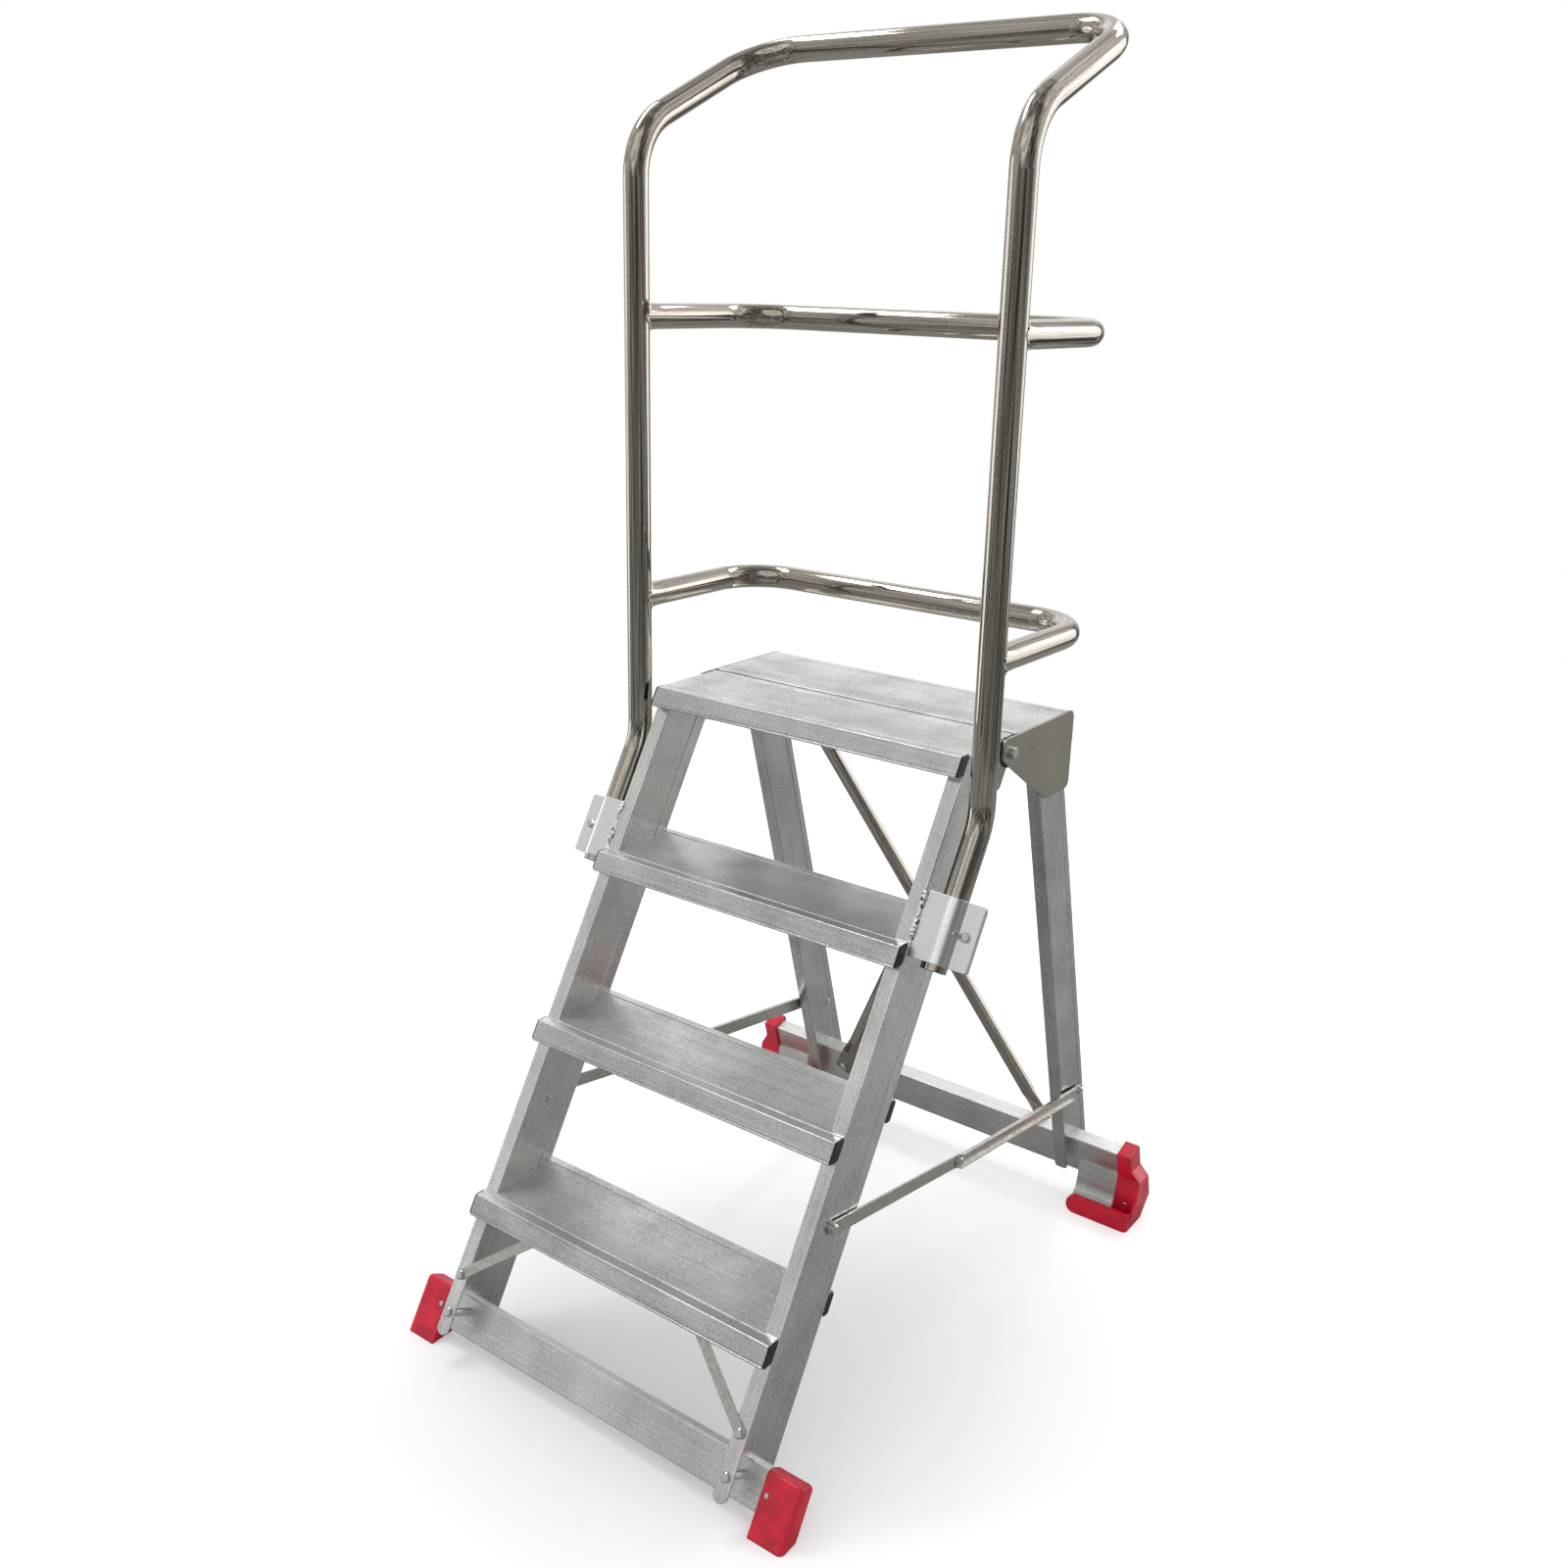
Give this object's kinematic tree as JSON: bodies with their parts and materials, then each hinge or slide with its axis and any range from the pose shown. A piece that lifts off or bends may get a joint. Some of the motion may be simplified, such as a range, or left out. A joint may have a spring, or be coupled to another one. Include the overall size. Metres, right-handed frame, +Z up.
{
  "type": "folding step ladder",
  "caption": "Folding aluminium step ladder with wide treads, a platform, spread rear legs with cross braces and locking side stays, and a clamped guardrail.",
  "frame": {"origin": "on the floor, midway between the sides and between the front and rear ends", "axes": "+Z up, +Y from the treads to the rear legs, +X to the right of a person who climbs"},
  "size_m": [0.88, 1.0962, 2.025],
  "materials": {
    "aluminium_profile": "mill",
    "aluminium_tube": "polished",
    "aluminium_plate": "mill",
    "galvanised_steel": "galvanised",
    "zinc_steel": "zinc plated",
    "red_plastic": "satin",
    "black_plastic": "matte"
  },
  "bodies": {
    "front_frame": {"front_stile_left": "aluminium_profile", "front_stile_right": "aluminium_profile", "tread_1": "aluminium_profile", "tread_2": "aluminium_profile", "tread_3": "aluminium_profile", "platform_front_board": "aluminium_profile", "tread_end_caps": "black_plastic", "front_base_bar": "aluminium_profile", "front_boot_left": "red_plastic", "front_boot_right": "red_plastic", "front_boot_screws": "zinc_steel", "front_flap_bolts": "zinc_steel", "front_flap_spacers": "zinc_steel", "lower_strap_left": "galvanised_steel", "lower_strap_right": "galvanised_steel", "lower_strap_bolts": "zinc_steel", "hinge_ear_left": "aluminium_plate", "hinge_ear_right": "aluminium_plate", "hinge_washers": "black_plastic", "hinge_bolts": "zinc_steel", "rail_socket_left": "aluminium_plate", "rail_socket_right": "aluminium_plate", "socket_clamp_bolts": "zinc_steel", "stay_front_bushes": "zinc_steel", "stay_front_bolts": "zinc_steel"},
    "rear_frame": {"rear_leg_left": "aluminium_profile", "rear_leg_right": "aluminium_profile", "platform_rear_board": "aluminium_profile", "hinge_gusset_left": "aluminium_plate", "hinge_gusset_right": "aluminium_plate", "rear_base_bar": "aluminium_profile", "rear_shoe_left": "aluminium_profile", "rear_shoe_right": "aluminium_profile", "rear_boot_left": "red_plastic", "rear_boot_right": "red_plastic", "rear_boot_screws": "zinc_steel", "cross_brace_front": "aluminium_tube", "cross_brace_rear": "aluminium_tube", "cross_brace_bolts": "zinc_steel", "stay_rear_bushes": "zinc_steel", "stay_rear_bolts": "zinc_steel"},
    "stay_front_left": {"stay_front_link_left": "galvanised_steel"},
    "stay_rear_left": {"stay_rear_link_left": "galvanised_steel", "stay_middle_rivet_left": "zinc_steel"},
    "stay_front_right": {"stay_front_link_right": "galvanised_steel"},
    "stay_rear_right": {"stay_rear_link_right": "galvanised_steel", "stay_middle_rivet_right": "zinc_steel"},
    "guardrail": {"guardrail_tube": "aluminium_tube", "guardrail_lower_hoop": "aluminium_tube", "guardrail_middle_hoop": "aluminium_tube"}
  },
  "joints": [
    {"name": "fold", "type": "hinge", "parent": "front_frame", "child": "rear_frame", "pos_m": [0, 0.12636, 0.975], "axis": [1, 0, 0], "range_deg": [-46.41, 0]},
    {"name": "stay_front_left_pivot", "type": "hinge", "parent": "front_frame", "child": "stay_front_left", "pos_m": [-0.2985, -0.31134, 0.36601], "axis": [1, 0, 0], "range_deg": [0, 60.19]},
    {"name": "stay_rear_left_pivot", "type": "hinge", "parent": "rear_frame", "child": "stay_rear_left", "pos_m": [-0.302, 0.4898, 0.22677], "axis": [1, 0, 0], "range_deg": [-45.4, 0]},
    {"name": "stay_front_right_pivot", "type": "hinge", "parent": "front_frame", "child": "stay_front_right", "pos_m": [0.2985, -0.31134, 0.36601], "axis": [1, 0, 0], "range_deg": [0, 60.19]},
    {"name": "stay_rear_right_pivot", "type": "hinge", "parent": "rear_frame", "child": "stay_rear_right", "pos_m": [0.302, 0.4898, 0.22677], "axis": [1, 0, 0], "range_deg": [-45.4, 0]},
    {"name": "guardrail_lift", "type": "slide", "parent": "front_frame", "child": "guardrail", "axis": [0, 0.5048, 0.8632], "range_m": [0, 0.11]}
  ],
  "couplings": [
    {"joint": "stay_front_left_pivot", "follows": "fold", "ratio": -1.2966},
    {"joint": "stay_rear_left_pivot", "follows": "fold", "ratio": 0.97802},
    {"joint": "stay_front_right_pivot", "follows": "fold", "ratio": -1.2966},
    {"joint": "stay_rear_right_pivot", "follows": "fold", "ratio": 0.97802}
  ]
}
